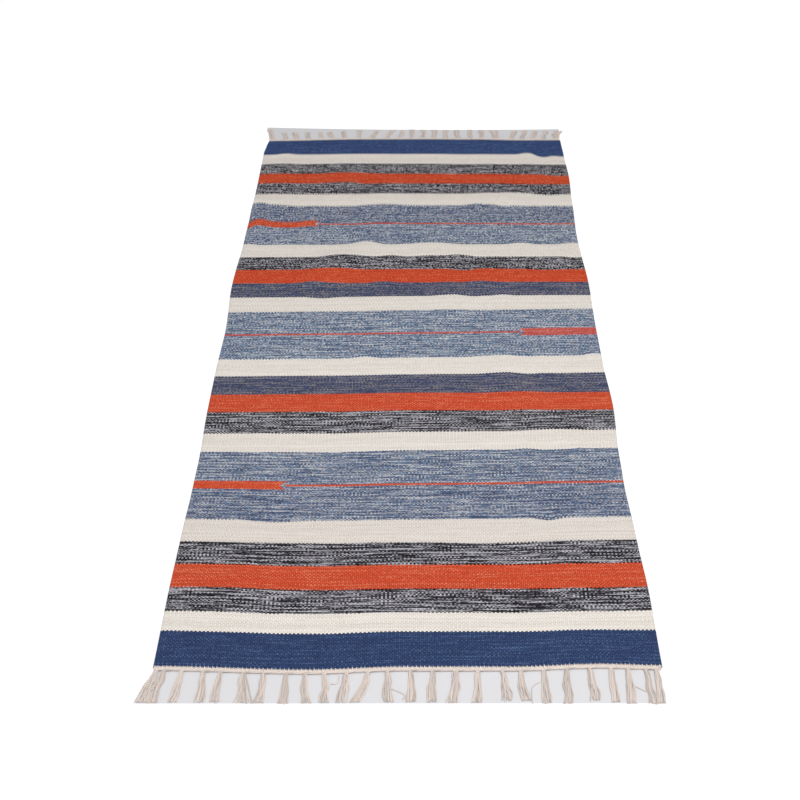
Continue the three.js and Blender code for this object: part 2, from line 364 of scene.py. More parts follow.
# The warps and picks drift slowly, over about 70 mm, and wave a little over 20 mm.
DRIFTS = [
    # waves in a mm, and how wide they push from side to side, across and along
    (0.014, 2.4, 1.2),
    (0.05, 0.6, 0.6),
]
moved = (0.0, 0.0, 0.0)
for waves, push_across, push_along in DRIFTS:
    push = (push_across, push_along, 0.0)
    half_back = (-push_across / 2, -push_along / 2, 0.0)
    drift = node("ShaderNodeTexNoise", {"Vector": place, "Scale": waves, "Detail": 1.0}, 1)
    drift = node("ShaderNodeVectorMath", [drift, push, half_back], operation="MULTIPLY_ADD")
    moved = node("ShaderNodeVectorMath", [moved, drift], operation="ADD")
moved = node("ShaderNodeVectorMath", [moved, place], operation="ADD")

# The beads stand in columns a warp apart, and every second column is half a bead further along.
# A weft is four strands side by side, and a bead shows all four, so the strands lie in rows a
# quarter of a bead apart.
grid = node("ShaderNodeVectorMath", [moved, (WARP_PITCH, STRAND_STEP, 1.0)], operation="DIVIDE")
strand = node("ShaderNodeVectorMath", [grid], operation="FLOOR")
column = node("ShaderNodeSeparateXYZ", [strand])
row = node("ShaderNodeSeparateXYZ", [strand], 1)
parity = node("ShaderNodeMath", [column, 2.0], operation="FLOORED_MODULO")
half_bead = node("ShaderNodeMath", [parity, 0.5], operation="MULTIPLY")
half_bead_along = node("ShaderNodeCombineXYZ", {"Y": half_bead})
in_beads = (1.0, 1 / BEAD_STRANDS, 1.0)
staggered = node("ShaderNodeVectorMath", [grid, in_beads], operation="MULTIPLY")
staggered = node("ShaderNodeVectorMath", [staggered, half_bead_along], operation="SUBTRACT")
pick = node("ShaderNodeSeparateXYZ", [staggered], 1)
pick = node("ShaderNodeMath", [pick], operation="FLOOR")
pick = node("ShaderNodeMath", [pick, half_bead], operation="ADD")
strand_mm = node("ShaderNodeMath", [row, STRAND_STEP, STRAND_STEP / 2], operation="MULTIPLY_ADD")
bead_mm = node("ShaderNodeMath", [column, WARP_PITCH, WARP_PITCH / 2], operation="MULTIPLY_ADD")

# A bead is a dome, nothing at its rim: (1 - x squared)(1 - y squared) to the power 0.4, where x
# and y go from -1 to 1 over it.
DOME_POWER = 0.4
in_bead = node("ShaderNodeVectorMath", [staggered], operation="FRACTION")
in_bead = node(
    "ShaderNodeVectorMath", [in_bead, (2.0, 2.0, 0.0), (-1.0, -1.0, 0.0)], operation="MULTIPLY_ADD"
)
squared = node("ShaderNodeVectorMath", [in_bead, in_bead], operation="MULTIPLY")
left_over = node("ShaderNodeVectorMath", [(1.0, 1.0, 1.0), squared], operation="SUBTRACT")
dome_across = node("ShaderNodeSeparateXYZ", [left_over])
dome_along = node("ShaderNodeSeparateXYZ", [left_over], 1)
dome = node("ShaderNodeMath", [dome_across, dome_along], operation="MULTIPLY")
dome = node("ShaderNodeMath", [dome, DOME_POWER], operation="POWER")

# Which ply shows: a slow change along each row of strands that starts anew in each, partly the
# same in both sets of columns and partly opposite in them, and chance in each row, strand and
# bead. Marl so fine fades in the render towards the far end, so it is drawn coarser there: what
# both sets share weighs less, and the chance of strands and beads more.
STREAK_LENGTH = 70.0
STREAK_STARTS = 50.0
STREAK_ROW_STEP = 17.37
OPPOSITE_WEIGHT = 3.0
ROW_TURN = 1.31
ROW_TURN_WEIGHT = 0.1
ROW_CHANCE_WEIGHT = 0.05
# From and to which place along the rug a weight changes, and the weight at each of them.
SAME_WEIGHTS = (-300.0, 600.0, 2.1, 1.6)
STRAND_WEIGHTS = (-300.0, 400.0, 0.2, 0.6)
BEAD_WEIGHTS = (-450.0, 400.0, 0.0, 0.2)
MARL_LEVEL = 0.475
row_chance = node("ShaderNodeTexWhiteNoise", {"W": row}, noise_dimensions="1D")
start = node("ShaderNodeMath", [row_chance, STREAK_STARTS], operation="MULTIPLY")
streak_across = node("ShaderNodeMath", [bead_mm, 1 / STREAK_LENGTH, start], operation="MULTIPLY_ADD")
streak_along = node("ShaderNodeMath", [row, STREAK_ROW_STEP], operation="MULTIPLY")
streak_place = node("ShaderNodeCombineXYZ", [streak_across, streak_along])
streak = node(
    "ShaderNodeTexNoise", {"Vector": streak_place, "Scale": 1.0, "Detail": 4.0, "Roughness": 0.6}, 1
)
same = node("ShaderNodeSeparateColor", [streak])
same = node("ShaderNodeMath", [same, 0.5], operation="SUBTRACT")
opposite = node("ShaderNodeSeparateColor", [streak], 1)
opposite = node(
    "ShaderNodeMath", [opposite, OPPOSITE_WEIGHT, -OPPOSITE_WEIGHT / 2], operation="MULTIPLY_ADD"
)
either_way = node("ShaderNodeMath", [parity, 0.5], operation="SUBTRACT")
row_turn = node("ShaderNodeMath", [row, ROW_TURN], operation="MULTIPLY")
row_turn = node("ShaderNodeMath", [row_turn], operation="SINE")
strand_chance = node("ShaderNodeTexWhiteNoise", {"Vector": strand}, noise_dimensions="2D")
strand_chance = node("ShaderNodeMath", [strand_chance, 0.5], operation="SUBTRACT")
bead = node("ShaderNodeCombineXYZ", [column, pick])
bead_chance = node("ShaderNodeTexWhiteNoise", {"Vector": bead}, noise_dimensions="2D")
bead_chance = node("ShaderNodeMath", [bead_chance, 0.5], operation="SUBTRACT")
same_weight, strand_weight, bead_weight = (
    node("ShaderNodeMapRange", [strand_mm, *weights])
    for weights in (SAME_WEIGHTS, STRAND_WEIGHTS, BEAD_WEIGHTS)
)
showing = MARL_LEVEL
for change, weight in (
    (same, same_weight),
    (opposite, either_way),
    (row_turn, ROW_TURN_WEIGHT),
    (row_chance, ROW_CHANCE_WEIGHT),
    (strand_chance, strand_weight),
    (bead_chance, bead_weight),
):
    showing = node("ShaderNodeMath", [change, weight, showing], operation="MULTIPLY_ADD")

# Where the third ply shows: its own slow change along each row, and chance in each strand.
THIRD_WAVES = (0.37, 5.3, 0.0)
THIRD_STRETCH = 2.4
THIRD_SHIFT = -0.85
THIRD_CHANCE = 0.3
third_place = node("ShaderNodeVectorMath", [strand, THIRD_WAVES], operation="MULTIPLY")
third_showing = node("ShaderNodeTexNoise", {"Vector": third_place, "Scale": 1.0, "Detail": 1.0})
third_showing = node(
    "ShaderNodeMath", [third_showing, THIRD_STRETCH, THIRD_SHIFT], operation="MULTIPLY_ADD"
)
third_chance = node("ShaderNodeTexWhiteNoise", {"Vector": third_place}, noise_dimensions="2D")
third_showing = node(
    "ShaderNodeMath", [third_chance, THIRD_CHANCE, third_showing], operation="MULTIPLY_ADD"
)

# Teeth at each colour change: every second column changes one strand, 1.33 mm, later. Teeth so
# fine don't show at the far end, so they grow from 250 mm along to three strands at 420 mm. Each
# thin line has small teeth of its own.
TOOTH_DEPTHS = (250.0, 420.0, -1.33, -4.0)
LINE_TOOTH_DEPTH = -1.2
tooth_depth = node("ShaderNodeMapRange", [strand_mm, *TOOTH_DEPTHS])
yarn_mm = node("ShaderNodeMath", [either_way, tooth_depth, strand_mm], operation="MULTIPLY_ADD")
line_mm = node("ShaderNodeMath", [either_way, LINE_TOOTH_DEPTH, strand_mm], operation="MULTIPLY_ADD")

# The inlaid bars: whole near their selvedge, forked where they stop, with a line about three
# strands thick that runs on over the rest of the width. They look up another stripe's yarn.
looked_up = yarn_mm
for middle, side, notch, half_depth, line_along, yarn_place in INLAID_BARS:
    off_middle = node("ShaderNodeMath", [yarn_mm, middle], operation="SUBTRACT")
    off_middle = node("ShaderNodeMath", [off_middle, half_depth], operation="DIVIDE")
    prong = node("ShaderNodeMath", [off_middle, off_middle], operation="MULTIPLY")
    from_notch = node("ShaderNodeMath", [bead_mm, side, -side * notch], operation="MULTIPLY_ADD")
    past_prong = node("ShaderNodeMath", [prong, PRONG_REACH, from_notch], operation="MULTIPLY_ADD")
    in_depth = node("ShaderNodeMath", [prong, 1.0], operation="LESS_THAN")
    in_bar = node("ShaderNodeMath", [past_prong, 0.0], operation="GREATER_THAN")
    in_bar = node("ShaderNodeMath", [in_bar, in_depth], operation="MULTIPLY")
    on_line = node("ShaderNodeMath", [line_mm, line_along, THIN_LINE_HALF], operation="COMPARE")
    past_gap = node("ShaderNodeMath", [from_notch, -THIN_LINE_GAP], operation="LESS_THAN")
    on_line = node("ShaderNodeMath", [on_line, past_gap], operation="MULTIPLY")
    inlaid = node("ShaderNodeMath", [in_bar, on_line], operation="MAXIMUM")
    looked_up = node("ShaderNodeMix", {0: inlaid, 2: looked_up, 3: yarn_place})

# The stripe's number is how many stripes end before the pick. One ramp over the numbers for each
# thing that the yarn decides: its three plies, and then how much of two of them and the painted
# shade of the hollows.
stripe_number = 0.5
for ends, _ in STRIPES[:-1]:
    past_end = node("ShaderNodeMath", [looked_up, ends], operation="GREATER_THAN")
    stripe_number = node("ShaderNodeMath", [past_end, stripe_number], operation="ADD")
stripe_number = node("ShaderNodeMath", [stripe_number, len(STRIPES)], operation="DIVIDE")
stripe_values = []
for kind in range(4):
    ramp = node("ShaderNodeValToRGB", [stripe_number])
    steps = ramp.node.color_ramp
    steps.interpolation = "CONSTANT"
    steps.elements.remove(steps.elements[-1])
    for number, (_, yarn) in enumerate(STRIPES):
        step = steps.elements.new(number / len(STRIPES)) if number else steps.elements[0]
        step.color = linear_colour(YARNS[yarn][kind]) if kind < 3 else (*YARNS[yarn][3:], 1)
    stripe_values.append(ramp)
dark_ply, light_ply, third_ply, shares_and_hollow_shade = stripe_values
light_share = node("ShaderNodeSeparateColor", [shares_and_hollow_shade])
third_share = node("ShaderNodeSeparateColor", [shares_and_hollow_shade], 1)
painted_hollow_shade = node("ShaderNodeSeparateColor", [shares_and_hollow_shade], 2)

# A ply starts to show where its change passes a level less the ply's share, and shows whole a
# blend further on.
LIGHT_LEVEL = 0.8
THIRD_LEVEL = 0.9
PLY_BLEND = 0.4
yarn_colour = dark_ply
for change, level, share, ply in (
    (showing, LIGHT_LEVEL, light_share, light_ply),
    (third_showing, THIRD_LEVEL, third_share, third_ply),
):
    starts = node("ShaderNodeMath", [level, share], operation="SUBTRACT")
    whole = node("ShaderNodeMath", [starts, PLY_BLEND], operation="ADD")
    shows = node("ShaderNodeMapRange", [change, starts, whole], interpolation_type="SMOOTHSTEP")
    yarn_colour = node("ShaderNodeMix", {0: shows, 6: yarn_colour, 7: ply}, 2, data_type="RGBA")

# Picks take the dye a little unevenly, the hollows between beads are painted darker as shade and
# the bead tops a little lighter, and strands differ the more, the darker a yarn's painted hollows
# are. Fibres about half a millimetre long fleck it all.
PICK_TONES = (0.94, 1.06)
BEAD_TOP_PAINTED_LIGHT = 1.04
STRAND_UNEVENNESS = 0.44
LESS_BY_HOLLOW = -0.5
FIBRE_WAVES = 2.2
FIBRE_TONES = (0.9, 1.1)
DYE_LOT = 91.7
dye_lot = node("ShaderNodeMath", [pick, DYE_LOT], operation="ADD")
pick_tone = node("ShaderNodeTexWhiteNoise", {"W": dye_lot}, noise_dimensions="1D")
tone = node("ShaderNodeMapRange", {"Value": pick_tone, 3: PICK_TONES[0], 4: PICK_TONES[1]})
# Painted shade: darker in the hollows between beads, a little lighter on the bead tops.
painted_bead_shade = node("ShaderNodeMapRange", {"Value": dome, 3: painted_hollow_shade, 4: BEAD_TOP_PAINTED_LIGHT})
unevenness = node(
    "ShaderNodeMath", [painted_hollow_shade, LESS_BY_HOLLOW, STRAND_UNEVENNESS], operation="MULTIPLY_ADD"
)
strand_tone = node("ShaderNodeMath", [strand_chance, unevenness, 1.0], operation="MULTIPLY_ADD")
fibre = node("ShaderNodeTexNoise", {"Vector": place, "Scale": FIBRE_WAVES, "Detail": 2.0})
fibre_tone = node("ShaderNodeMapRange", {"Value": fibre, 3: FIBRE_TONES[0], 4: FIBRE_TONES[1]})
for factor in (painted_bead_shade, strand_tone, fibre_tone):
    tone = node("ShaderNodeMath", [tone, factor], operation="MULTIPLY")
toned = node("ShaderNodeVectorMath", {0: yarn_colour, "Scale": tone}, operation="SCALE")

# The relief: the beads' domes, 0.6 mm high, with the ply grooves slanting across them and lint.
BEAD_HEIGHT = 0.6
GROOVE_SLANT = (2.2, 3.4, 0.0)
GROOVE_SHARE = 0.16
LINT_SHARE = 0.25
slant = node("ShaderNodeVectorMath", [in_bead, GROOVE_SLANT], 1, operation="DOT_PRODUCT")
groove = node("ShaderNodeMath", [slant], operation="SINE")
groove = node("ShaderNodeMath", [groove], operation="ABSOLUTE")
relief = node("ShaderNodeMath", [groove, GROOVE_SHARE, dome], operation="MULTIPLY_ADD")
relief = node("ShaderNodeMath", [fibre, LINT_SHARE, relief], operation="MULTIPLY_ADD")
bump = node("ShaderNodeBump", {"Strength": 0.6, "Distance": BEAD_HEIGHT * MM, "Height": relief})
cotton = node(
    "ShaderNodeBsdfPrincipled",
    {
        "Base Color": toned,
        "Roughness": 0.92,
        "Specular IOR Level": 0.1,
        "Normal": bump,
    },
)
node("ShaderNodeOutputMaterial", {"Surface": cotton})

cloth = mesh_object("woven_cloth", *cloth_mesh(), "weave")
cloth.data.materials.append(weave)
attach(cloth, "root")
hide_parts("cloth")

# The warp fringes
# Undyed two-ply cotton warps a little under 2 mm thick. At each end they are hitched one round
# the next into a rope-like edge, and hang out of it in bundles of about eleven, cut 50 mm out.
YARN_RADIUS = 0.95
HITCH_RADIUS = 1.0
LOOSE_END_RADIUS = 0.75
# A yarn is drawn with six sides, and the first number of its UV grows by this at each of them.
YARN_SIDES = 6
SIDE_UV = 100.0
# How far from the middle the rope reaches across.
ROPE_HALF = 347.0
# Half the width of a bundle's root, and the tone of the darkest yarn, at each end.
NEAR_PINCH = 1.9
NEAR_DARKEST = 0.05
FAR_PINCH = 3.2
FAR_DARKEST = 0.4
NEAR_BUNDLES = np.array(
    [
        # root across, tip across, spread at the tip, bend, reach, yarns
        (-344, -356, 19, -3, 44.5, 13),
        (-333, -342, 17, -3, 44.5, 12),
        (-309, -314, 14.5, 0, 43.5, 11),
        (-279, -278, 14.5, 1, 42.5, 11),
        (-255, -258, 14.5, -1, 41.5, 11),
        (-223, -219, 22.5, 0, 41.5, 11),
        (-196, -199, 13.5, 4, 40.5, 11),
        (-164, -165, 14.5, 0, 40.5, 11),
        (-139, -136, 13.5, -1, 39.5, 11),
        (-112, -109, 14.5, 0, 39.5, 11),
        (-82, -87, 17.5, 1, 40.5, 11),
        (-52, -67, 15.5, 2, 40.5, 11),
        (-26, -25, 14.5, 0, 42.5, 11),
        (6, 7, 13.5, 1, 42.5, 11),
        (36, 34, 14.5, 0, 42.5, 11),
        (68, 64, 15.5, -1, 43.5, 11),
        (98, 94, 13.5, 0, 43.5, 11),
        (131, 136, 14.5, 1, 40.5, 11),
        (157, 160, 13.5, -4, 40.5, 11),
        (188, 189, 14.5, 0, 45.5, 11),
        (219, 217, 14.5, 0, 47.5, 11),
        (250, 254, 14.5, 1, 44.5, 11),
        (280, 279, 13.5, 0, 46.5, 11),
        (303, 302, 13.5, -1, 48.5, 11),
        (327, 329, 13, 1, 47.5, 10),
        (341, 340, 12, 1, 46.5, 9),
    ]
)
FAR_BUNDLES = np.array(
    [
        # the same columns
        (-341, -354, 15, -1, 49, 13),
        (-308, -317, 13, 0, 32.5, 11),
        (-283, -291, 14, 1, 34.5, 11),
        (-253, -262, 13, 0, 33.5, 11),
        (-222, -229, 13, -1, 30.5, 11),
        (-196, -206, 14, 0, 31.5, 11),
        (-166, -171, 13, 0, 33.5, 11),
        (-135, -133, 13, 1, 37.5, 11),
        (-103, -91, 14, 0, 36.5, 11),
        (-69, -53, 14, 0, 38.5, 11),
        (-35, -26, 13, 0, 37.5, 11),
        (-6, -4, 14, 0, 39.5, 11),
        (20, 23, 13, 1, 38.5, 11),
        (47, 50, 14, 0, 38.5, 11),
        (76, 77, 13, 0, 37.5, 11),
        (107, 103, 14, -1, 38.5, 11),
        (135, 136, 13, 0, 39.5, 11),
        (162, 166, 13, 0, 38.5, 11),
        (198, 193, 20, 0, 37.5, 13),
        (232, 244, 13, 1, 38.5, 11),
        (257, 268, 13, 0, 38.5, 11),
        (281, 294, 14, -1, 37.5, 11),
        (307, 320, 13, 0, 37.5, 11),
        (341, 349, 24, -2, 38, 17),
    ]
)
NEAR_LOOSE_ENDS = np.array(
    [
        # across, along at three places of a warp end that has slipped out of its bundle
        ((-20, -732), (-3, -740), (-4, -748)),
        ((-92, -713), (-94, -724), (-103, -725)),
        ((181, -721), (170, -730), (169, -752)),
        ((307, -725), (321, -733), (325, -733)),
        ((-229, -715), (-230, -724), (-225, -736)),
    ]
)


def smooth_paths(controls, steps):
    """Curves through rows of control points, each stretch a Catmull-Rom cubic.

    The cubic of a stretch a to b, with z before and c after, is half of 2a + (b - z)t
    + (2z - 5a + 4b - c)t squared + (3a - z - 3b + c)t cubed.
    """
    held = np.concatenate([controls[:, :1], controls, controls[:, -1:]], 1)
    at = np.linspace(0, controls.shape[1] - 1, steps)
    stretch = np.minimum(at.astype(int), controls.shape[1] - 2)
    t = (at - stretch)[:, None]
    z, a, b, c = (held[:, stretch + k] for k in range(4))
    return 0.5 * (
        2 * a + (b - z) * t + (2 * z - 5 * a + 4 * b - c) * t**2 + (3 * a - z - 3 * b + c) * t**3
    )


def strand_skins(paths, radii):
    """Six-sided tubes round rows of path points: centre plus radius times a turning unit vector.

    The vector's first direction is level at the start and is kept square to the path at each
    step, so a tube doesn't twist. Gives points, faces, and a UV of (round the yarn, along it).
    """
    forward = np.gradient(paths, axis=1)
    forward /= np.linalg.norm(forward, axis=2, keepdims=True)
    level = np.cross(forward[:, 0], (0, 0, 1))
    beside = np.empty_like(paths)
    for step in range(paths.shape[1]):
        ahead = forward[:, step]
        level = level - (level * ahead).sum(1, keepdims=True) * ahead
        level /= np.linalg.norm(level, axis=1, keepdims=True)
        beside[:, step] = level
    above = np.cross(beside, forward)
    side = np.arange(YARN_SIDES)
    next_side = (side + 1) % YARN_SIDES
    turn = (side * 2 * np.pi / YARN_SIDES)[:, None]
    spokes = np.cos(turn) * beside[:, :, None] + np.sin(turn) * above[:, :, None]
    points = paths[:, :, None] + spokes * radii[..., None, None]
    strands, steps = paths.shape[:2]
    ring = np.arange(strands * steps).reshape(strands, steps)[:, :-1, None] * YARN_SIDES
    next_ring = ring + YARN_SIDES
    walls = np.stack([ring + side, next_ring + side, next_ring + next_side, ring + next_side], -1)
    cap = np.array([[0, 1, 2, 3], [0, 3, 4, 5]])
    start_caps = (np.arange(strands) * steps * YARN_SIDES)[:, None, None] + cap
    end_caps = start_caps[..., ::-1] + (steps - 1) * YARN_SIDES
    run = np.linalg.norm(np.diff(paths, axis=1), axis=2).cumsum(1)
    run = np.concatenate([np.zeros((strands, 1)), run], 1)
    wall_uv = np.empty((*walls.shape, 2))
    wall_uv[..., 0] = np.stack([side, side, side + 1, side + 1], -1)[None, None] * SIDE_UV
    wall_uv[..., (0, 3), 1] = run[:, :-1, None, None]
    wall_uv[..., (1, 2), 1] = run[:, 1:, None, None]
    cap_uv = np.zeros((start_caps.size // 4 * 2, 4, 2))
    faces = np.concatenate([part.reshape(-1, 4) for part in (walls, start_caps, end_caps)])
    return points.reshape(-1, 3), faces, np.concatenate([wall_uv.reshape(-1, 4, 2), cap_uv])


def end_place(outward, across, out):
    """The plan place of a point so far out from the cloth's end, at its place across."""
    x, y, _ = cloth_point(across, np.full_like(across, outward * CLOTH_LENGTH / 2))
    return x, y + outward * out


HITCH_PATH = np.array(
    [
        # lean across, out from the cloth's end, height, how much further out every second one is
        (0, -1.1, 3.3, 1.3),
        (0, 0.3, 3.5, 0.8),
        (1.2, 1.9, 3.4, 0),
        (4.2, 3.2, 3.2, 0),
        (7.4, 4.5, 2.3, 0),
        (8.6, 4.8, 1.4, 0),
        (8.2, 3.7, 1.0, 0),
    ]
)
HITCH_SLACK = 0.25
HITCH_STEPS = 16


def hitch_paths(outward):
    """One warp after another: out of the cloth, over the edge's rope on a slant, and under it."""
    lean, out, rise, further = HITCH_PATH.T
    warps = int(CLOTH_WIDTH / WARP_PITCH)
    across = (np.arange(warps) + 0.5) * WARP_PITCH - CLOTH_WIDTH / 2
    every_second = (np.arange(warps) % 2)[:, None]
    draws = np.random.default_rng(7)
    slack = draws.normal(0, HITCH_SLACK, (warps, len(lean), 2))
    places = np.clip(across[:, None] + outward * lean + slack[..., 0], -ROPE_HALF, ROPE_HALF)
    x, y = end_place(outward, places, out + every_second * further + slack[..., 1])
    return smooth_paths(np.stack([x, y, np.broadcast_to(rise, x.shape)], -1), HITCH_STEPS)


# A bundle's yarns come along the rope to its root, through two places. Each place's distances
# to the side and out grow with the yarn's order in the bundle, and its height with its layer.
ROPE_WRAP = np.array(
    [
        # to the side, more by order, out, more by order, height, more by layer
        (3.0, 12.0, 2.6, 0.0, 2.0, 0.0),
        (1.6, 6.5, 4.4, 0.6, 2.6, 1.0),
    ]
)
# A yarn leaves the rope at its edge, and its tip lies its bundle's reach and a little more past
# that. The yarns of a bundle lie in layers, piled up at the root and lower at the tip.
ROPE_EDGE = 5.8
PAST_REACH = 2.6
SPREAD_POWER = 0.8
ROOT_PILE = 2.6
TIP_PILE = 1.1
ROOT_LIFT = 0.4
LAYER_STEP = 0.618
LAYER_SHIFT = 0.31
# How far yarns and whole bundles stray, as the spread of the chance in each.
YARN_STRAY = 0.17
BUNDLE_WAVER = 0.9
CUT_UNEVENNESS = 0.6
BUNDLE_STEPS = 30


def bundle_paths(outward, bundles, pinch):
    """The yarns of each bundle: along the rope from one side, round its root, and out to the tip.

    Across is root + (tip - root)t + 2 bend t(1 - t), plus the bundle's waver, plus half its
    width there times the yarn's place in it. The width grows from the root's pinch to the spread
    with t to the power 0.8. The height is the yarn's radius, plus its layer, from 0 to 1, times
    (the root's pile times (1 - t) squared + the tip's times t), plus the lift times (1 - t) cubed.
    """
    draws = np.random.default_rng(11 if outward < 0 else 12)
    counts = bundles[:, 5].astype(int)
    owner = np.repeat(np.arange(len(bundles)), counts)
    root, tip, spread, bend, reach = (column[:, None] for column in bundles[owner, :5].T)
    number = np.concatenate([np.arange(count) for count in counts])
    fan = (2 * number / (counts[owner] - 1) - 1)[:, None]
    layer = ((number * LAYER_STEP + LAYER_SHIFT * owner) % 1)[:, None]
    yarns = len(owner)
    along = np.array([0, 0.14, 0.32, 0.52, 0.76, 1.0])
    width = pinch + (spread / 2 - YARN_RADIUS - pinch) * along**SPREAD_POWER
    stray = draws.normal(0, YARN_STRAY, (yarns, len(along)))
    waver = draws.normal(0, BUNDLE_WAVER, (len(bundles), len(along)))[owner] * np.sqrt(along)
    across = root + (tip - root) * along + 2 * bend * along * (1 - along)
    across = across + waver + width * (fan + stray)
    uneven_cut = draws.normal(0, CUT_UNEVENNESS, (yarns, 1))
    out = ROPE_EDGE + (reach + PAST_REACH + uneven_cut) * along
    pile = ROOT_PILE * (1 - along) ** 2 + TIP_PILE * along
    rise = YARN_RADIUS + layer * pile + ROOT_LIFT * (1 - along) ** 3
    order = (1 - outward * fan) / 2
    side, side_by_order, away, away_by_order, height, height_by_layer = ROPE_WRAP.T
    rope_across = root - outward * (side + side_by_order * order)
    rope_out = away + away_by_order * order
    rope_rise = height + height_by_layer * layer
    across = np.concatenate([np.clip(rope_across, -ROPE_HALF, ROPE_HALF), across], 1)
    x, y = end_place(outward, across, np.concatenate([rope_out, out], 1))
    rise = np.concatenate([rope_rise, rise], 1)
    return smooth_paths(np.stack([x, y, rise], -1), BUNDLE_STEPS)


CUT_TIP = 0.5
HITCH_DARKEST = 0.7
LOOSE_END_DARKEST = 0.5
LOOSE_END_HEIGHT = 0.8
LOOSE_END_STEPS = 18


def fringe_object(name, outward, bundles, pinch, darkest, loose_ends=()):
    """A fringe's yarns in one mesh, with a tone for each yarn in an attribute of its points."""
    hitches = hitch_paths(outward)
    hanging = bundle_paths(outward, bundles, pinch)
    cut_short = YARN_RADIUS * np.append(np.ones(hanging.shape[1] - 1), CUT_TIP)
    groups = [
        # paths, radii, tone of the darkest yarn
        (hitches, np.full(hitches.shape[:2], HITCH_RADIUS), HITCH_DARKEST),
        (hanging, np.broadcast_to(cut_short, hanging.shape[:2]), darkest),
    ]
    if len(loose_ends):
        height = np.full((*loose_ends.shape[:2], 1), LOOSE_END_HEIGHT)
        loose = smooth_paths(np.concatenate([loose_ends, height], -1), LOOSE_END_STEPS)
        groups.append((loose, np.full(loose.shape[:2], LOOSE_END_RADIUS), LOOSE_END_DARKEST))
    points, faces, corner_uvs, tones = [], [], [], []
    draws = np.random.default_rng(3)
    first = 0
    for paths, radii, tone in groups:
        skin_points, skin_faces, skin_uv = strand_skins(paths, radii)
        points.append(skin_points)
        faces.append(skin_faces + first)
        corner_uvs.append(skin_uv)
        yarn_tones = draws.uniform(tone, 1, len(paths))
        tones.append(np.repeat(yarn_tones, paths.shape[1] * YARN_SIDES))
        first += len(skin_points)
    joined = (np.concatenate(parts) for parts in (points, faces, corner_uvs))
    made = mesh_object(name, *joined, "yarn")
    tone_layer = made.data.attributes.new("tone", "FLOAT", "POINT")
    tone_layer.data.foreach_set("value", np.concatenate(tones).astype(np.float32))
    return made


# Undyed two-ply cotton yarn, soft spun: cream, quite matt, with a brown painted shade in the
# groove between its plies, and a short lint.
warp = bpy.data.materials.new("undyed_two_ply_cotton")
warp.use_nodes = True
warp.node_tree.nodes.clear()
node = partial(add_node, warp)

# The UV's first number goes round the yarn and the second is metres along it. The two plies come
# round once in 7 mm, and the groove between them is where a sine of both is near nothing.
PLY_TURN = 7.0
GROOVE_SHADE_COLOUR = "#ad9486"
PLY_COLOUR = "#f2e8e1"
PLY_POWER = 0.6
LINT_WAVES = 1900.0
YARN_TONES = (0.74, 1.09)
YARN_LINT_SHARE = 0.3
PLY_HEIGHT = 0.35
yarn_uv = node("ShaderNodeUVMap", uv_map="yarn")
lobes = (2 / (YARN_SIDES * SIDE_UV * MM), 2 / (PLY_TURN * MM), 0.0)
round_and_along = node("ShaderNodeVectorMath", [yarn_uv, lobes], operation="MULTIPLY")
lobe = node(
    "ShaderNodeVectorMath", [round_and_along, (np.pi, np.pi, 0.0)], 1, operation="DOT_PRODUCT"
)
lobe = node("ShaderNodeMath", [lobe], operation="SINE")
lobe = node("ShaderNodeMath", [lobe], operation="ABSOLUTE")
warp_place = node("ShaderNodeTexCoord", output=3)
lint = node("ShaderNodeTexNoise", {"Vector": warp_place, "Scale": LINT_WAVES, "Detail": 2.0})
yarn_tone = node("ShaderNodeAttribute", output=2, attribute_name="tone")
plies = node("ShaderNodeMath", [lobe, PLY_POWER], operation="POWER")
# The groove's brown is painted shade between the plies.
cream = node(
    "ShaderNodeMix",
    {0: plies, 6: linear_colour(GROOVE_SHADE_COLOUR), 7: linear_colour(PLY_COLOUR)},
    2,
    data_type="RGBA",
)
yarn_level = node("ShaderNodeMapRange", {"Value": yarn_tone, 3: YARN_TONES[0], 4: YARN_TONES[1]})
cream = node("ShaderNodeVectorMath", {0: cream, "Scale": yarn_level}, operation="SCALE")
relief = node("ShaderNodeMath", [lint, YARN_LINT_SHARE, lobe], operation="MULTIPLY_ADD")
bump = node("ShaderNodeBump", {"Strength": 0.7, "Distance": PLY_HEIGHT * MM, "Height": relief})
soft = node(
    "ShaderNodeBsdfPrincipled",
    {
        "Base Color": cream,
        "Roughness": 0.95,
        "Specular IOR Level": 0.2,
        "Normal": bump,
    },
)
node("ShaderNodeOutputMaterial", {"Surface": soft})

near_fringe = fringe_object(
    "warp_fringe_near", -1, NEAR_BUNDLES, NEAR_PINCH, NEAR_DARKEST, NEAR_LOOSE_ENDS
)
far_fringe = fringe_object("warp_fringe_far", 1, FAR_BUNDLES, FAR_PINCH, FAR_DARKEST)
for fringe, solid in ((near_fringe, "fringe_near"), (far_fringe, "fringe_far")):
    fringe.data.materials.append(warp)
    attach(fringe, "root")
    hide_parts(solid)

# The floor and the light
# A near-white studio floor with a painted glow, under one large soft light, high up on the camera's
# side and a little to its right, with an even pale surround.
floor = bpy.data.materials.new("white_floor_with_painted_glow")
floor.use_nodes = True
floor.node_tree.nodes.clear()
node = partial(add_node, floor)
# The floor glows a little, painted light that grows towards the back, but not in the two strips
# where the fringes lie, so that they hold painted shade. A place is in a strip where, for each of
# its edges, the edge's first three numbers times its across, along and across squared, plus the
# fourth, make more than nothing, all in metres.
SHADE_STRIP_EDGES = [
    [(0, -1, 0, -0.696), (-0.006, 1, 0, 0.7535), (1, -0.32, 0, 0.124), (-1, 0, 0, 0.346)],
    [(0, 1, 0, -0.696), (-0.026, -1, 0.056, 0.757), (1, 0.193, 0, 0.2054), (-1, 0.178, 0, 0.2205)],
]
SHADE_STRIP_BLUR = 0.0015
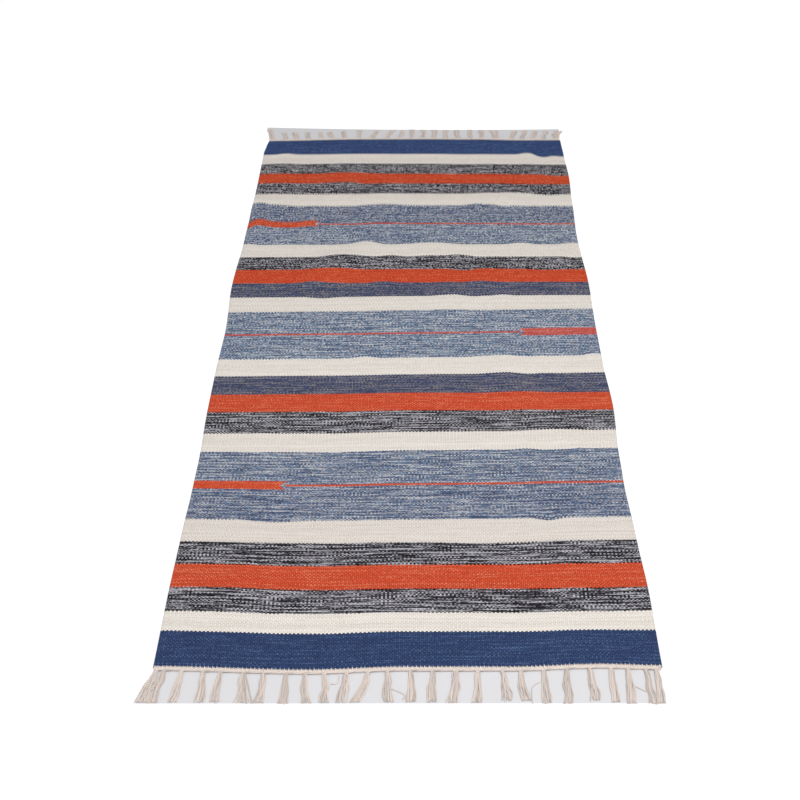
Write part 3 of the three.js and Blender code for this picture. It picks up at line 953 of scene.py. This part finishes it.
# From and to where along, in metres, the painted glow grows, and the glow at each of them.
PAINTED_GLOW = (-0.8, 1.2, 0.3, 0.55)
floor_place = node("ShaderNodeTexCoord", output=3)
floor_across = node("ShaderNodeSeparateXYZ", [floor_place])
floor_along = node("ShaderNodeSeparateXYZ", [floor_place], 1)
across_squared = node("ShaderNodeMath", [floor_across, floor_across], operation="MULTIPLY")
strip_place = node("ShaderNodeCombineXYZ", [floor_across, floor_along, across_squared])
# Outside the strips the floor glows; inside them the glow is left out, as painted shade under the
# fringes.
clear = 1.0
for edges in SHADE_STRIP_EDGES:
    outside = 0.0
    for *weights, distance in edges:
        inside = node("ShaderNodeVectorMath", [strip_place, weights], 1, operation="DOT_PRODUCT")
        past_edge = node("ShaderNodeMapRange", [inside, -distance, SHADE_STRIP_BLUR - distance, 1.0, 0.0])
        outside = node("ShaderNodeMath", [outside, past_edge], operation="MAXIMUM")
    clear = node("ShaderNodeMath", [clear, outside], operation="MULTIPLY")
painted_glow = node("ShaderNodeMapRange", [floor_along, *PAINTED_GLOW])
painted_glow = node("ShaderNodeMath", [painted_glow, clear], operation="MULTIPLY")
paint = node(
    "ShaderNodeBsdfPrincipled",
    {
        "Base Color": linear_colour("#dddde0"),
        "Roughness": 0.9,
        "Emission Color": linear_colour("#ffffff"),
        "Emission Strength": painted_glow,
    },
)
node("ShaderNodeOutputMaterial", {"Surface": paint})
FLOOR_HALF = 8000.0
FLOOR_DROP = 0.2
floor_corners = FLOOR_HALF * np.array([(-1, -1, 0), (1, -1, 0), (1, 1, 0), (-1, 1, 0)])
floor_corners[:, 2] = -FLOOR_DROP
ground = mesh_object(
    "studio_floor", floor_corners, np.array([[0, 1, 2, 3]]), np.zeros((1, 4, 2)), "floor"
)
ground.data.materials.append(floor)

SURROUND_STRENGTH = 0.48
surround = bpy.data.worlds.new("pale_surround")
surround.use_nodes = True
background = surround.node_tree.nodes["Background"]
background.inputs["Color"].default_value = (1.0, 1.0, 1.0, 1.0)
background.inputs["Strength"].default_value = SURROUND_STRENGTH
bpy.context.scene.world = surround


def turned_and_placed(right, up, back, place):
    """The matrix of a thing whose own x, y and z point right, up and back, standing at a place."""
    matrix = np.eye(4)
    matrix[:3] = np.stack([right, up, back, place], -1)
    return Matrix(matrix.tolist())


SOFTBOX_PLACE = np.array([0.35, -1.2, 2.6])
SOFTBOX_AIM = np.array([0.0, -0.1, 0.0])
softbox = bpy.data.lights.new("softbox", "AREA")
softbox.shape = "DISK"
softbox.size = 1.3
softbox.energy = 46.0
softbox_object = bpy.data.objects.new("softbox", softbox)
back = SOFTBOX_PLACE - SOFTBOX_AIM
back /= np.linalg.norm(back)
right = np.cross((0, 0, 1), back)
right /= np.linalg.norm(right)
softbox_object.matrix_world = turned_and_placed(right, np.cross(back, right), back, SOFTBOX_PLACE)
bpy.context.scene.collection.objects.link(softbox_object)

# The camera
# A normal lens held at standing height in front of the near end, looking about 45 degrees down.
CAMERA_PLACE = (0.0216, -1.4129, 1.2219)
PITCH, YAW, ROLL = np.radians([44.61, -1.753, -1.326])
lens = bpy.data.cameras.new("camera")
lens.sensor_width = 36.0
lens.lens = 44.67
camera = bpy.data.objects.new("camera", lens)
ahead = np.array([np.sin(YAW) * np.cos(PITCH), np.cos(YAW) * np.cos(PITCH), -np.sin(PITCH)])
level_right = np.array([np.cos(YAW), -np.sin(YAW), 0.0])
level_up = np.cross(level_right, ahead)
right = level_right * np.cos(ROLL) + level_up * np.sin(ROLL)
up = level_up * np.cos(ROLL) - level_right * np.sin(ROLL)
camera.matrix_world = turned_and_placed(right, up, -ahead, CAMERA_PLACE)
bpy.context.scene.collection.objects.link(camera)
bpy.context.scene.camera = camera
bpy.context.scene.view_settings.view_transform = "Standard"
